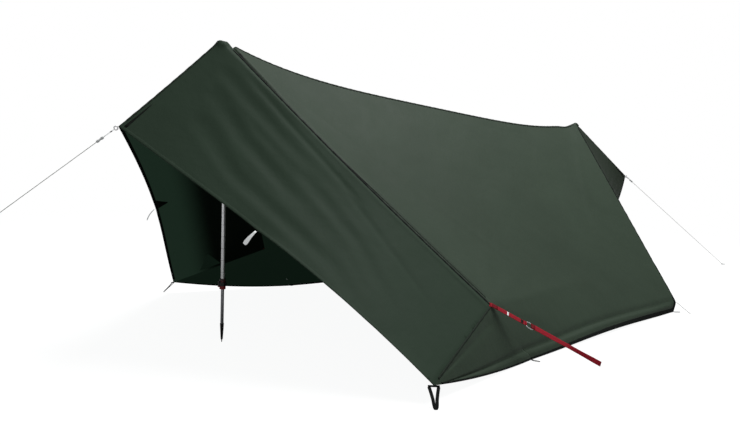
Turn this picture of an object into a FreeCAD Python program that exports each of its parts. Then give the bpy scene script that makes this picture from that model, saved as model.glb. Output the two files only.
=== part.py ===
import FreeCAD, Part
import math
import os

# A ridge shelter held up by two walking poles: one sewn sheet, pegged at its hem and guyed at both ends.
# Millimetres, +Z up, +X to the right of someone who looks along +Y into the front. The ground is Z = 0.

Vector = FreeCAD.Vector
os.makedirs("parts", exist_ok=True)

# --- driving dimensions -----------------------------------------------------------------------------
FRONT_APEX_HEIGHT = 1250.0
REAR_APEX_HEIGHT = 1056.0
FRONT_APEX_Y = -1305.0
REAR_APEX_Y = 1120.0
FRONT_TIP_Y = -1745.0
REAR_TIP_Y = 1737.8
FRONT_TIP_HEIGHT = 885.0
REAR_TIP_HEIGHT = 730.0
FRONT_GUY_GROUND_Y = -2880.0
REAR_GUY_GROUND_Y = 3320.0

FRONT_CORNER = Vector(1040, -1068, 62)
SIDE_GUY_POINT = Vector(862, -591, 245)
SIDE_PEG = Vector(902, -371, 0)
REAR_CORNER = Vector(762, 1070, 62)
REAR_CORNER_PEG = Vector(744, 1083, 0.4)
DOOR_CORNER = Vector(75, 1007, 150)
DOOR_PEG = Vector(206, 1020, 0.4)
DOOR_EDGE_MIDDLE = Vector(20, 1560, 450)
FRONT_LOOP_PEG = Vector(1085, -1099, 6)
STRAP_PEG = Vector(1106, -199, 5)
CORNER_LINE_PEG = Vector(831, 1107, 4)
AWNING_EDGE_MIDDLE = Vector(464, -1411, 532)
AWNING_EDGE_LOW = Vector(754, -1243, 319)

RIDGE_SAG = 88.0
RIDGE_SAG_POWER = 4       # a higher power sags more evenly between steeper ends
FABRIC = 1.6              # stand-in thickness of the cloth
TAPE = 0.9
SKIN_GAP = 0.3
RIDGE_HALF_GAP = 3.5

POLE_SECTION = 568.0      # from an apex down to its pole's upper clamp
FRONT_LOWER_CLAMP = 250.0
REAR_LOWER_CLAMP = 158.0
TUBE_RADII = (9.0, 7.9, 6.8)
TUBE_WALL = 0.8
CLAMP_RADIUS = 13.0
CLAMP_HEIGHT = 44.0
CUP_DROP = 48.0           # from an apex to the centre of its pole cup
GRIP_RADIUS = 16.0

WEBBING = 1.6             # thickness
STRAP_WIDTH = 20.0


# --- helpers ------------------------------------------------------------------------------------------
def mix(a, b, t):
    return a * (1 - t) + b * t


def through(points, knots):
    """A smooth curve through the points at the given knots."""
    def at(t):
        total = Vector(0, 0, 0)
        for i, point in enumerate(points):
            weight = 1.0
            for j, knot in enumerate(knots):
                if j != i:
                    weight *= (t - knot) / (knots[i] - knot)
            total += point * weight
        return total
    return at


def unit(vector):
    return vector * (1.0 / vector.Length)


def mirrored(shape):
    return shape.mirror(Vector(0, 0, 0), Vector(1, 0, 0))


def save(name, *shapes):
    shape = shapes[0] if len(shapes) == 1 else Part.makeCompound(list(shapes))
    solids = shape.Solids
    if not shape.isValid() or not solids or min(s.Volume for s in solids) <= 0:
        raise ValueError(name + " is not a sound solid")
    shape.exportStep("parts/%s.step" % name)
    print("%-24s solids %d  volume %.0f mm3" % (name, len(solids), shape.Volume))


def save_pair(name, shape):
    """A part on the right side and its mirror image on the left."""
    save(name + "_right", shape)
    save(name + "_left", mirrored(shape))


def patch(top, bottom, front, back, fade=1):
    """A surface between four edges: u runs along top and bottom, v down the front and back.

    The shape of the front and back edges fades out along u, faster for a higher power."""
    def at(u, v):
        front_bulge = front(v) - mix(top(0), bottom(0), v)
        back_bulge = back(v) - mix(top(1), bottom(1), v)
        return mix(top(u), bottom(u), v) + front_bulge * (1 - u) ** fade + back_bulge * u ** fade
    return at


def woven(at, u_span, v_span=(0, 1), columns=9, rows=9):
    """A smooth surface through samples of a patch."""
    grid = []
    for i in range(columns):
        u = mix(u_span[0], u_span[1], i / (columns - 1))
        grid.append([at(u, mix(v_span[0], v_span[1], j / (rows - 1))) for j in range(rows)])
    surface = Part.BSplineSurface()
    surface.interpolate(grid)
    return surface


def cloth(surface, inward):
    return surface.toShape().extrude(inward * FABRIC)


def lining(surface, inward, u_span, v_span):
    """A strip of tape inside part of a panel. The spans are shares of the panel's two directions."""
    u0, u1, v0, v1 = surface.bounds()
    face = surface.toShape(mix(u0, u1, u_span[0]), mix(u0, u1, u_span[1]),
                           mix(v0, v1, v_span[0]), mix(v0, v1, v_span[1]))
    face.translate(inward * (FABRIC + SKIN_GAP))
    return face.extrude(inward * TAPE)


def slab(start, end, across, width, thickness):
    """A flat strip from start to end, with its width along across."""
    along = unit(end - start)
    side = unit(across - along * across.dot(along)) * (width / 2)
    normal = unit(along.cross(side)) * thickness
    corners = [start - side, end - side, end + side, start + side]
    lift = normal * -0.5
    face = Part.Face(Part.makePolygon([c + lift for c in corners + corners[:1]]))
    return face.extrude(normal)


def rod(start, end, radius):
    return Part.makeCylinder(radius, (end - start).Length, start, end - start)


def turned(profile):
    """A solid of revolution about Z from (radius, height) pairs."""
    points = [Vector(r, 0, z) for r, z in profile]
    face = Part.Face(Part.makePolygon(points + points[:1]))
    return face.revolve(Vector(0, 0, 0), Vector(0, 0, 1), 360)


def fused(*shapes):
    return shapes[0].multiFuse(list(shapes[1:])).removeSplitter()


# --- the sheet's edges, right side --------------------------------------------------------------------
FRONT_APEX = Vector(RIDGE_HALF_GAP, FRONT_APEX_Y, FRONT_APEX_HEIGHT)
REAR_APEX = Vector(RIDGE_HALF_GAP, REAR_APEX_Y, REAR_APEX_HEIGHT)
FRONT_TIP = Vector(RIDGE_HALF_GAP, FRONT_TIP_Y, FRONT_TIP_HEIGHT)
REAR_TIP = Vector(RIDGE_HALF_GAP, REAR_TIP_Y, REAR_TIP_HEIGHT)
WAIST = 0.8               # how far down the edges the side guy point and the door corner lie
REAR_WAIST_POINT = mix(REAR_APEX, REAR_CORNER, WAIST)
HEM_LIFT = 12.0
SEAM_DIP = 14.0


def ridge(u):
    sag = RIDGE_SAG * (1 - abs(2 * u - 1) ** RIDGE_SAG_POWER)
    return mix(FRONT_APEX, REAR_APEX, u) - Vector(0, 0, sag)


def front_seam(t):
    return mix(FRONT_APEX, SIDE_GUY_POINT, t) - Vector(0, 0, SEAM_DIP * math.sin(math.pi * t))


def fold(t):
    return mix(SIDE_GUY_POINT, FRONT_CORNER, t)


def gusset_hem(t):
    """The bottom edge from the side peg forward, rising to the front corner."""
    point = mix(SIDE_PEG, FRONT_CORNER, t)
    point.z = FRONT_CORNER.z * t ** 2
    return point


def main_front_edge(v):
    if v < WAIST:
        return front_seam(v / WAIST)
    return mix(SIDE_GUY_POINT, SIDE_PEG, (v - WAIST) / (1 - WAIST))


def rear_seam(v):
    if v < WAIST:
        return mix(REAR_APEX, REAR_WAIST_POINT, v / WAIST)
    foot = through([REAR_WAIST_POINT, REAR_CORNER, REAR_CORNER_PEG], [0, 0.75, 1])
    return foot((v - WAIST) / (1 - WAIST))


def lifted_hem(start, end):
    """A bottom edge that rises a little between its two pegs."""
    def at(u):
        return mix(start, end, u) + Vector(0, 0, HEM_LIFT * math.sin(math.pi * u) ** 2)
    return at


def front_beak(u):
    return mix(FRONT_APEX, FRONT_TIP, u)


def rear_beak(u):
    return mix(REAR_APEX, REAR_TIP, u)


def awning_edge(v):
    points = [FRONT_TIP, AWNING_EDGE_MIDDLE, AWNING_EDGE_LOW, FRONT_CORNER]
    return through(points, [0, 0.42, 0.71, 1])(v)


def door_edge(v):
    if v < WAIST:
        return through([REAR_TIP, DOOR_EDGE_MIDDLE, DOOR_CORNER], [0, 0.4, 1])(v / WAIST)
    return mix(DOOR_CORNER, DOOR_PEG, (v - WAIST) / (1 - WAIST))


def gusset(u, v):
    return mix(fold(u), gusset_hem(u), v)


main_sheet = patch(ridge, lifted_hem(SIDE_PEG, REAR_CORNER_PEG), main_front_edge, rear_seam, fade=3)
awning_sheet = patch(front_beak, fold, front_seam, awning_edge)
rear_sheet = patch(rear_beak, lifted_hem(REAR_CORNER_PEG, DOOR_PEG), rear_seam, door_edge, fade=2)

MAIN_IN = Vector(-1, 0, 0)
AWNING_IN = unit(Vector(-0.96, 0.28, 0))
REAR_IN = unit(Vector(-0.3, -0.95, 0))
FINE = 16                 # sample rows, so that one of them lies on the waist

main_skin = woven(main_sheet, (0.0015, 0.995), columns=13, rows=FINE)
gusset_skin = woven(gusset, (0.004, 0.97), (0.01, 0.999))
awning_skin = woven(awning_sheet, (0.005, 1), (0, 0.998), rows=11)
rear_skin = woven(rear_sheet, (0.027, 1), rows=FINE)


def panels():
    save_pair("main_panel", cloth(main_skin, MAIN_IN))
    save_pair("corner_gusset", cloth(gusset_skin, MAIN_IN))
    save_pair("awning_panel", cloth(awning_skin, AWNING_IN))
    save_pair("rear_panel", cloth(rear_skin, REAR_IN))


def hems():
    save_pair("side_hem", lining(main_skin, MAIN_IN, (0.003, 0.993), (0.968, 1)))
    save_pair("awning_hem", lining(awning_skin, AWNING_IN, (0.945, 1), (0.01, 0.985)))
    save_pair("rear_hem", lining(rear_skin, REAR_IN, (0.012, 0.985), (0.962, 1)))


def seam_tapes():
    """Bindings under the ridge and along the two slanting seams."""
    half_width = 4.0
    drop = 4.5
    steps = 12
    edges = []
    for side in (-half_width, half_width):
        shift = Vector(side - RIDGE_HALF_GAP, 0, -drop)
        line = [ridge(i / steps) + shift for i in range(1, steps)]
        spline = Part.BSplineCurve()
        spline.interpolate(line)
        edges.append(spline.toShape())
    ribbon = Part.makeRuledSurface(edges[0], edges[1]).extrude(Vector(0, 0, -TAPE))
    front = lining(main_skin, MAIN_IN, (0.006, 0.014), (0.05, 0.75))
    rear = lining(main_skin, MAIN_IN, (0.984, 0.992), (0.05, 0.75))
    save("seam_tapes", ribbon, front, rear, mirrored(front), mirrored(rear))


def save_linings(name, *strips):
    save(name, *[side for strip in strips for side in (strip, mirrored(strip))])


def reinforcements():
    save_linings("beak_tip_patches", lining(awning_skin, AWNING_IN, (0.72, 0.93), (0.03, 0.11)),
                 lining(rear_skin, REAR_IN, (0.72, 0.97), (0.07, 0.16)))
    save_linings("toggle_patches", lining(awning_skin, AWNING_IN, (0.8, 0.93), (0.4, 0.5)))
    save_linings("corner_patches", lining(awning_skin, AWNING_IN, (0.5, 0.93), (0.9, 0.97)))
    save_linings("closure_patches", lining(rear_skin, REAR_IN, (0.86, 0.985), (0.68, 0.78)))


# --- peg loops and webbing ----------------------------------------------------------------------------
LOOP_LENGTH = 36.0
LOOP_WIDTH = 16.0
LOOP_BAND = 4.0
LOOP_GAP = 5.0


def ground_loop(start, heading):
    """A flat webbing loop for a peg, lying on the ground."""
    outer = Part.makeBox(LOOP_LENGTH, LOOP_WIDTH, WEBBING, Vector(LOOP_GAP, -LOOP_WIDTH / 2, 0))
    inner = Part.makeBox(LOOP_LENGTH - 2 * LOOP_BAND, LOOP_WIDTH - 2 * LOOP_BAND, 4 * WEBBING,
                         Vector(LOOP_GAP + LOOP_BAND, LOOP_BAND - LOOP_WIDTH / 2, -WEBBING))
    loop = outer.cut(inner)
    loop.rotate(Vector(0, 0, 0), Vector(0, 0, 1), heading)
    loop.translate(Vector(start.x, start.y, 0))
    return loop


def peg_loops():
    side = ground_loop(SIDE_PEG, 8)
    corner = ground_loop(REAR_CORNER_PEG, 50)
    door = ground_loop(DOOR_PEG + Vector(-2, 3, 0), 115)
    save("peg_loops", *[m for s in (side, corner, door) for m in (s, mirrored(s))])


def corner_loops():
    """The front corners' V of webbing, down to a peg."""
    across = Vector(0.63, 0.77, 0)
    spread = 26.0
    width = 9.0
    top = FRONT_CORNER + Vector(3, -2, -4)
    near = top - across * spread
    far = top + across * spread
    bar = slab(near, far, Vector(0, 0, 1), width, WEBBING)
    near_leg = slab(near, FRONT_LOOP_PEG, across, width, WEBBING)
    far_leg = slab(far, FRONT_LOOP_PEG, across, width, WEBBING)
    loop = fused(bar, near_leg, far_leg)
    save("front_corner_loops", loop, mirrored(loop))


STRAP_ALONG = unit(STRAP_PEG - SIDE_GUY_POINT)
STRAP_ACROSS = unit(STRAP_ALONG.cross(Vector(0.6, -0.1, 0.79)))
STRAP_ROOT = SIDE_GUY_POINT + Vector(3, 0, 2)
TAB_LENGTH = 158.0
RING_LENGTH = 34.0
RING_WIDTH = 30.0
RING_WIRE = 1.6           # radius of the ring's wire
STRAP_CLEARANCE = 0.6     # between the ring and the webbing folded over it


def strap_point(distance):
    return STRAP_ROOT + STRAP_ALONG * distance


def side_straps():
    tab = slab(strap_point(2), strap_point(TAB_LENGTH), STRAP_ACROSS, STRAP_WIDTH, WEBBING)
    save("strap_tabs", tab, mirrored(tab))
    near = strap_point(TAB_LENGTH + 0.5 + RING_WIRE)
    far = near + STRAP_ALONG * RING_LENGTH
    side = STRAP_ACROSS * (RING_WIDTH / 2)
    corners = [near - side, far - side, far + side, near + side]
    bars = [rod(corners[i], corners[(i + 1) % 4], RING_WIRE) for i in range(4)]
    knuckles = [Part.makeSphere(RING_WIRE, corner) for corner in corners]
    save_pair("strap_ring", fused(*(bars + knuckles)))
    lift = unit(STRAP_ACROSS.cross(STRAP_ALONG)) * (RING_WIRE + WEBBING + STRAP_CLEARANCE)
    start = near + STRAP_ALONG * (RING_LENGTH * 0.55) + lift
    end = strap_point((STRAP_PEG - SIDE_GUY_POINT).Length) + lift
    save_pair("ground_strap", slab(start, end, STRAP_ACROSS, STRAP_WIDTH, 2 * WEBBING))


TOGGLE_LENGTH = 62.0
TOGGLE_WIDTH = 13.0
HOOK_RADIUS = 7.0
HOOK_WIRE = 1.6
HOOK_TAB_WIDTH = 10.0


def toggles():
    """Reflective tabs that hang from the awning's edge and hold it rolled back."""
    start = AWNING_EDGE_MIDDLE + Vector(-3, -6, -4)
    end = start + unit(Vector(-0.2, -0.62, -0.75)) * TOGGLE_LENGTH
    save_pair("toggle", slab(start, end, Vector(0.8, 0.4, -0.4), TOGGLE_WIDTH, WEBBING))


def door_closure():
    """A hooked tab that closes the gap between the two rear panels."""
    start = DOOR_CORNER + Vector(-8, -4, 10)
    end = start + Vector(-46, 0, -26)
    band = slab(start, end, Vector(0, 0, 1), HOOK_TAB_WIDTH, WEBBING)
    hook = Part.makeTorus(HOOK_RADIUS, HOOK_WIRE, end + Vector(-6, 0, -3), Vector(0, 1, 0))
    save("closure_hook", fused(band, hook))


# --- guylines -----------------------------------------------------------------------------------------
CORD_RADIUS = 1.25
CORNER_CORD_RADIUS = 1.0
LINE_FOOT_HEIGHT = 4.0
LINE_END_GAP = 4.7        # the line stops here, short of the knot's centre
END_LOOP_RADIUS = 18.0
KNOT_RADIUS = 4.0
TAB_START = 20.4          # these four are distances from a beak tip along its line
TAB_END = 62.0
TENSIONER_START = 69.0
TENSIONER_END = 101.0
TAB_WIDTH = 11.0
TENSIONER_RADIUS = 5.5
TENSIONER_BORE = 1.75
TIP_RING_RADIUS = 9.0
TIP_RING_HOLE = 5.0
TIP_RING_WIDTH = 3.0


def guyline(name, tip, ground, pull):
    """A taut line from a beak tip to the ground, its tensioner and its end loop."""
    along = unit(ground - tip)
    line_start = tip + along * TAB_END
    line_end = ground - along * LINE_END_GAP
    save(name + "_guyline", rod(line_start, line_end, CORD_RADIUS))
    print("   %s guyline %.0f mm, straight: no bend" % (name, (line_end - line_start).Length))
    body = rod(tip + along * TENSIONER_START, tip + along * TENSIONER_END, TENSIONER_RADIUS)
    bore = rod(tip + along * TAB_END, ground, TENSIONER_BORE)
    save(name + "_tensioner", body.cut(bore))
    loop_centre = Vector(0, ground.y + pull * END_LOOP_RADIUS, CORD_RADIUS)
    loop = Part.makeTorus(END_LOOP_RADIUS, CORD_RADIUS, loop_centre)
    knot = Part.makeSphere(KNOT_RADIUS, Vector(0, ground.y, KNOT_RADIUS + 0.4))
    save(name + "_ground_loop", fused(loop, knot))


def tip_tab(tip, ground):
    """The webbing tab between a beak tip's ring and its guyline."""
    along = unit(ground - tip)
    return slab(tip + along * TAB_START, tip + along * TAB_END, Vector(1, 0, 0), TAB_WIDTH, WEBBING)


def tip_ring(tip, ground):
    """The metal ring at a beak tip, on the line of its guyline."""
    centre = tip + unit(ground - tip) * (TIP_RING_RADIUS + 2)
    half = Vector(TIP_RING_WIDTH / 2, 0, 0)
    return rod(centre - half, centre + half, TIP_RING_RADIUS).cut(
        rod(centre - half * 2, centre + half * 2, TIP_RING_HOLE))


def guylines():
    front_tip = Vector(0, FRONT_TIP_Y, FRONT_TIP_HEIGHT)
    rear_tip = Vector(0, REAR_TIP_Y, REAR_TIP_HEIGHT)
    front_ground = Vector(0, FRONT_GUY_GROUND_Y, LINE_FOOT_HEIGHT)
    rear_ground = Vector(0, REAR_GUY_GROUND_Y, LINE_FOOT_HEIGHT)
    guyline("front", front_tip, front_ground, -1)
    guyline("rear", rear_tip, rear_ground, 1)
    save("beak_tabs", tip_tab(front_tip, front_ground), tip_tab(rear_tip, rear_ground))
    save("beak_grommets", tip_ring(front_tip, front_ground), tip_ring(rear_tip, rear_ground))
    save_pair("corner_line", rod(REAR_CORNER + Vector(2, 2, -1), CORNER_LINE_PEG, CORNER_CORD_RADIUS))


# --- poles --------------------------------------------------------------------------------------------
TIP_LENGTH = 80.0
MIDDLE_LENGTH = 540.0
LOWER_TOP = 540.0
FERRULE_TOP = 66.0
PRESS_GAP = 0.05          # between parts that are glued or gripped
SLIDE_GAP = 0.3           # between a collar and the tube that slides in it
PIN_OFFSET = CLAMP_RADIUS + 4.0
PIN_RADIUS = 1.5
PIN_BOTTOM = -11.0        # heights from the middle of a clamp
PIN_LENGTH = 22.0
EAR_BOTTOMS = (-12.0, 8.0)
EAR_TALL = 4.0
LEVER_TALL = 15.2
LEVER_GAP = 0.6           # between a closed lever's arm and the collar
LEVER_ARM = 2.8
LEVER_EYE_RADIUS = 3.5
GRIP_LENGTH = 150.0       # from the centre of the grip's dome down to its foot
SOCKET_DEPTH = 20.0
FOAM_LENGTH = 150.0
CUP_GAP = 0.4
CUP_WALL = 2.2
CUP_RIM = 12.5            # above the centre of the grip's dome


def upright(radius, bottom, top, y=0):
    return Part.makeCylinder(radius, top - bottom, Vector(0, y, bottom))


def tube(outer, bottom, top):
    return upright(outer, bottom, top).cut(upright(outer - TUBE_WALL, bottom, top))


def clamp(height, held, sliding):
    """A collar that grips the tube above and lets the next one slide, with two ears and a pin."""
    top = height + CLAMP_HEIGHT / 2
    bottom = height - CLAMP_HEIGHT / 2
    body = upright(CLAMP_RADIUS, bottom, top)
    body = body.cut(upright(held + PRESS_GAP, height, top))
    body = body.cut(upright(sliding + SLIDE_GAP, bottom, height))
    hollow = upright(CLAMP_RADIUS - 1, bottom, top)
    ears = []
    for ear_bottom in EAR_BOTTOMS:
        ear = Part.makeBox(8, 11, EAR_TALL, Vector(-4, -PIN_OFFSET - 4, height + ear_bottom))
        ears.append(ear.cut(hollow))
    pin_bottom = height + PIN_BOTTOM
    pin = upright(PIN_RADIUS, pin_bottom, pin_bottom + PIN_LENGTH, -PIN_OFFSET)
    return fused(body, ears[0], ears[1], pin)


def lever(height):
    """A clamp lever: an eye round the pin and an arm that hugs the collar."""
    low = height - LEVER_TALL / 2
    high = height + LEVER_TALL / 2
    inner = CLAMP_RADIUS + LEVER_GAP
    arm = Part.makeCylinder(inner + LEVER_ARM, LEVER_TALL, Vector(0, 0, low), Vector(0, 0, 1), 145)
    arm = arm.cut(upright(inner, low, high))
    arm.rotate(Vector(0, 0, 0), Vector(0, 0, 1), -82)
    eye = upright(LEVER_EYE_RADIUS, low, high, -PIN_OFFSET)
    body = fused(arm, eye).cut(upright(CLAMP_RADIUS + 0.35, low, high))
    return body.cut(upright(PIN_RADIUS + 0.08, low, high, -PIN_OFFSET))


def grip(top):
    """A moulded handle whose domed top turns in the apex cup."""
    centre = top - CUP_DROP
    foot = centre - GRIP_LENGTH
    socket = TUBE_RADII[0] + PRESS_GAP
    profile = [
        (socket, foot), (14, foot), (15.5, foot + 18), (13.2, foot + 50), (14.2, foot + 78),
        (13.2, foot + 106), (GRIP_RADIUS, foot + 132), (GRIP_RADIUS, centre), (0, centre),
        (0, centre - SOCKET_DEPTH), (socket, centre - SOCKET_DEPTH),
    ]
    dome = Part.makeSphere(GRIP_RADIUS, Vector(0, 0, centre), Vector(0, 0, 1), 0, 90, 360)
    return fused(turned(profile), dome)


def foam(top):
    """A soft sleeve below the grip."""
    bore = TUBE_RADII[0] + PRESS_GAP
    high = top - 0.3
    low = top - FOAM_LENGTH
    return turned([(bore, low), (12.2, low), (13, low + 10), (13, high - 6), (12, high), (bore, high)])


def tip(lower):
    """The ferrule and point under the lowest tube, which stands in it."""
    body = turned([(0, 0), (1.6, 0), (2.2, 10), (4.6, 12), (5.6, 30), (8.4, TIP_LENGTH), (0, TIP_LENGTH)])
    return body.cut(upright(lower + PRESS_GAP, FERRULE_TOP - 0.3, TIP_LENGTH))


def cup(top):
    """A shallow socket under the apex, a slice of a hollow ball round the grip's dome."""
    centre = Vector(0, 0, top - CUP_DROP)
    outside = Part.makeSphere(GRIP_RADIUS + CUP_GAP + CUP_WALL, centre)
    inside = Part.makeSphere(GRIP_RADIUS + CUP_GAP, centre)
    above = Part.makeBox(60, 60, 20, Vector(-30, -30, centre.z + CUP_RIM))
    return outside.cut(inside).common(above)


def pole(name, y, top, lower_clamp):
    """All pieces of one pole. Its apex cup, which belongs to the sheet, is returned."""
    upper, middle, lower = TUBE_RADII
    upper_clamp = top - POLE_SECTION
    dome = top - CUP_DROP
    parts = {
        "grip": grip(top),
        "foam": foam(dome - GRIP_LENGTH),
        "upper_tube": tube(upper, upper_clamp, dome - SOCKET_DEPTH - 0.3),
        "upper_clamp": clamp(upper_clamp, upper, middle),
        "upper_lever": lever(upper_clamp),
        "middle_tube": tube(middle, lower_clamp, lower_clamp + MIDDLE_LENGTH),
        "lower_clamp": clamp(lower_clamp, middle, lower),
        "lower_lever": lever(lower_clamp),
        "lower_tube": tube(lower, FERRULE_TOP, LOWER_TOP),
        "tip": tip(lower),
    }
    at = Vector(0, y, 0)
    for part, shape in parts.items():
        save("%s_pole_%s" % (name, part), shape.translated(at))
    return cup(top).translated(at)


panels()
hems()
seam_tapes()
reinforcements()
peg_loops()
corner_loops()
side_straps()
toggles()
door_closure()
guylines()
front_cup = pole("front", FRONT_APEX_Y, FRONT_APEX_HEIGHT, FRONT_LOWER_CLAMP)
rear_cup = pole("rear", REAR_APEX_Y, REAR_APEX_HEIGHT, REAR_LOWER_CLAMP)
save("apex_cups", front_cup, rear_cup)
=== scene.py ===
from math import copysign, cos, inf, pi, radians, sin

import bpy
import numpy as np
from mathutils import Matrix, Vector, noise


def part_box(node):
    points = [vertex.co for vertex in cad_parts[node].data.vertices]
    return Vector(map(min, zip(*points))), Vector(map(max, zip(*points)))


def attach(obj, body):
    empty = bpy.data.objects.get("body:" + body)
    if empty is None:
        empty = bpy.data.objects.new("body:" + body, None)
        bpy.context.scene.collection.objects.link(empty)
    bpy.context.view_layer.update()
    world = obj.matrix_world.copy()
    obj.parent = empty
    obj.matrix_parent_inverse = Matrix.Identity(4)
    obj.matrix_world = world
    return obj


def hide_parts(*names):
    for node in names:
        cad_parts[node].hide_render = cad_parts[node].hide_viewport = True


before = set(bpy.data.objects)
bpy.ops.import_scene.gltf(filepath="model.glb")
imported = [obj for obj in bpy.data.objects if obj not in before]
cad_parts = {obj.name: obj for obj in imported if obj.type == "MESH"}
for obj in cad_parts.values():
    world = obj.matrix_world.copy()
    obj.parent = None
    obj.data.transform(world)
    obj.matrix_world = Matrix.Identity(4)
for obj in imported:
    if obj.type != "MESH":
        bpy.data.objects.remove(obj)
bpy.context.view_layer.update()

# The looks of a ridge shelter held up by two walking poles. Metres, +Z up, the front faces -Y.


def vec(*xyz):
    return np.array(xyz, float)


# --- places, as in the part's own source ---
FRONT_APEX = vec(0, -1.305, 1.25)
REAR_APEX = vec(0, 1.12, 1.056)
FRONT_TIP = vec(0, -1.745, 0.885)
REAR_TIP = vec(0, 1.7378, 0.73)
FRONT_CORNER = vec(1.04, -1.068, 0.062)
SIDE_GUY_POINT = vec(0.862, -0.591, 0.245)
SIDE_PEG = vec(0.902, -0.371, 0.003)
REAR_CORNER = vec(0.762, 1.07, 0.062)
REAR_CORNER_PEG = vec(0.744, 1.083, 0.003)
DOOR_CORNER = vec(0.075, 1.007, 0.15)
DOOR_PEG = vec(0.206, 1.02, 0.003)
DOOR_EDGE_MIDDLE = vec(0.02, 1.56, 0.45)
FRONT_LOOP_PEG = vec(1.085, -1.099, 0.006)
STRAP_PEG = vec(1.106, -0.199, 0.005)
CORNER_LINE_PEG = vec(0.831, 1.107, 0.004)
AWNING_EDGE_MIDDLE = vec(0.464, -1.411, 0.532)
AWNING_EDGE_LOW = vec(0.754, -1.243, 0.319)
FRONT_GUY_GROUND = vec(0, -2.88, 0.004)
REAR_GUY_GROUND = vec(0, 3.32, 0.004)
RIDGE_SAG = 0.088
SEAM_DIP = 0.014
HEAD_RISE = 0.03
WAIST = 0.8
REAR_BEND = 0.75
HEM_LIFT = 0.012
CLOTH = 0.0007
SIDES = {"right": vec(1, 1, 1), "left": vec(-1, 1, 1)}


# --- helpers ---
def length(vector):
    return np.linalg.norm(vector, axis=-1)


def unit(vector):
    return vector / length(vector)[..., None]


def travelled(points):
    """The distance along a row of points, from 0."""
    return np.concatenate([[0], np.cumsum(length(np.diff(points, axis=0)))])


def mix(a, b, t):
    t = np.asarray(t, float)[..., None]
    return a * (1 - t) + b * t


def through(points, knots, t):
    """A smooth curve through the points at the given knots."""
    t = np.asarray(t, float)
    total = 0
    for i, point in enumerate(points):
        weight = np.ones_like(t)
        for j, knot in enumerate(knots):
            if j != i:
                weight = weight * (t - knot) / (knots[i] - knot)
        total = total + weight[..., None] * point
    return total


def ease(t):
    t = np.clip(t, 0, 1)
    return t * t * (3 - 2 * t)


def bump(x, width):
    return np.exp(-(x / width) ** 2)


def circle(count):
    """Cosine and sine of equal steps round a circle."""
    return [(cos(2 * pi * k / count), sin(2 * pi * k / count)) for k in range(count)]


def squared(x, power):
    """A cosine or sine that draws a rounded square for a power below 1."""
    return copysign(abs(x) ** power, x)


def add_object(name, data):
    obj = bpy.data.objects.new(name, data)
    bpy.context.scene.collection.objects.link(obj)
    return obj


# --- materials ---
class Nodes:
    """A short way to wire a procedural material."""

    def __init__(self, name):
        self.material = bpy.data.materials.new(name)
        self.material.use_nodes = True
        self.tree = self.material.node_tree
        self.shader = self.tree.nodes["Principled BSDF"]

    def fill(self, node, inputs):
        """Links sockets and sets plain values."""
        for key, value in inputs.items():
            if isinstance(value, bpy.types.NodeSocket):
                self.tree.links.new(value, node.inputs[key])
            else:
                node.inputs[key].default_value = value

    def add(self, kind, inputs=None, **settings):
        node = self.tree.nodes.new("ShaderNode" + kind)
        for key, value in settings.items():
            setattr(node, key, value)
        self.fill(node, inputs or {})
        return node

    def shade(self, **inputs):
        """Fills the shader's sockets, with _ for a space in their names."""
        self.fill(self.shader, {key.replace("_", " "): value for key, value in inputs.items()})
        return self.material

    def share_surface(self, share, other):
        """The second shader takes its share of the surface."""
        both = self.add("MixShader", {0: share, 1: self.shader.outputs[0], 2: other.outputs[0]})
        self.fill(self.tree.nodes["Material Output"], {"Surface": both.outputs[0]})

    def math(self, operation, a, b=0.0):
        return self.add("Math", {0: a, 1: b}, operation=operation).outputs[0]

    def place(self, kind="Object"):
        """The point of the surface in metres or, as "UV", the metres along and across the cloth."""
        return self.add("TexCoord").outputs[kind]

    def split(self, vector):
        return self.add("SeparateXYZ", {0: vector}).outputs

    def blend(self, factor, a, b):
        return self.add("Mix", {0: factor, 6: a, 7: b}, data_type="RGBA").outputs[2]

    def spread(self, value, low=0.0, high=1.0):
        """The value, from 0 to 1, on the range low to high."""
        return self.add("MapRange", {0: value, 3: low, 4: high}).outputs[0]

    def ramp(self, value, start, stop):
        """0 before the start, 1 past the stop, with soft ends."""
        return self.add("MapRange", {0: value, 1: start, 2: stop}, interpolation_type="SMOOTHSTEP").outputs[0]

    def noise(self, where, scale, detail=3.0):
        return self.add("TexNoise", {"Vector": where, "Scale": scale, "Detail": detail}).outputs["Fac"]

    def pores(self, scale):
        return self.add("TexVoronoi", {"Vector": self.place(), "Scale": scale}).outputs["Distance"]

    def relief(self, height, distance, strength, below=None):
        inputs = {"Height": height, "Distance": distance, "Strength": strength}
        return self.add("Bump", inputs | ({"Normal": below} if below else {})).outputs["Normal"]


def rgb(r, g, b):
    return (r, g, b, 1.0)


def scaled(colour, factor, extra=0.0):
    return rgb(*[min(1.0, c * factor + extra) for c in colour])


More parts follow.
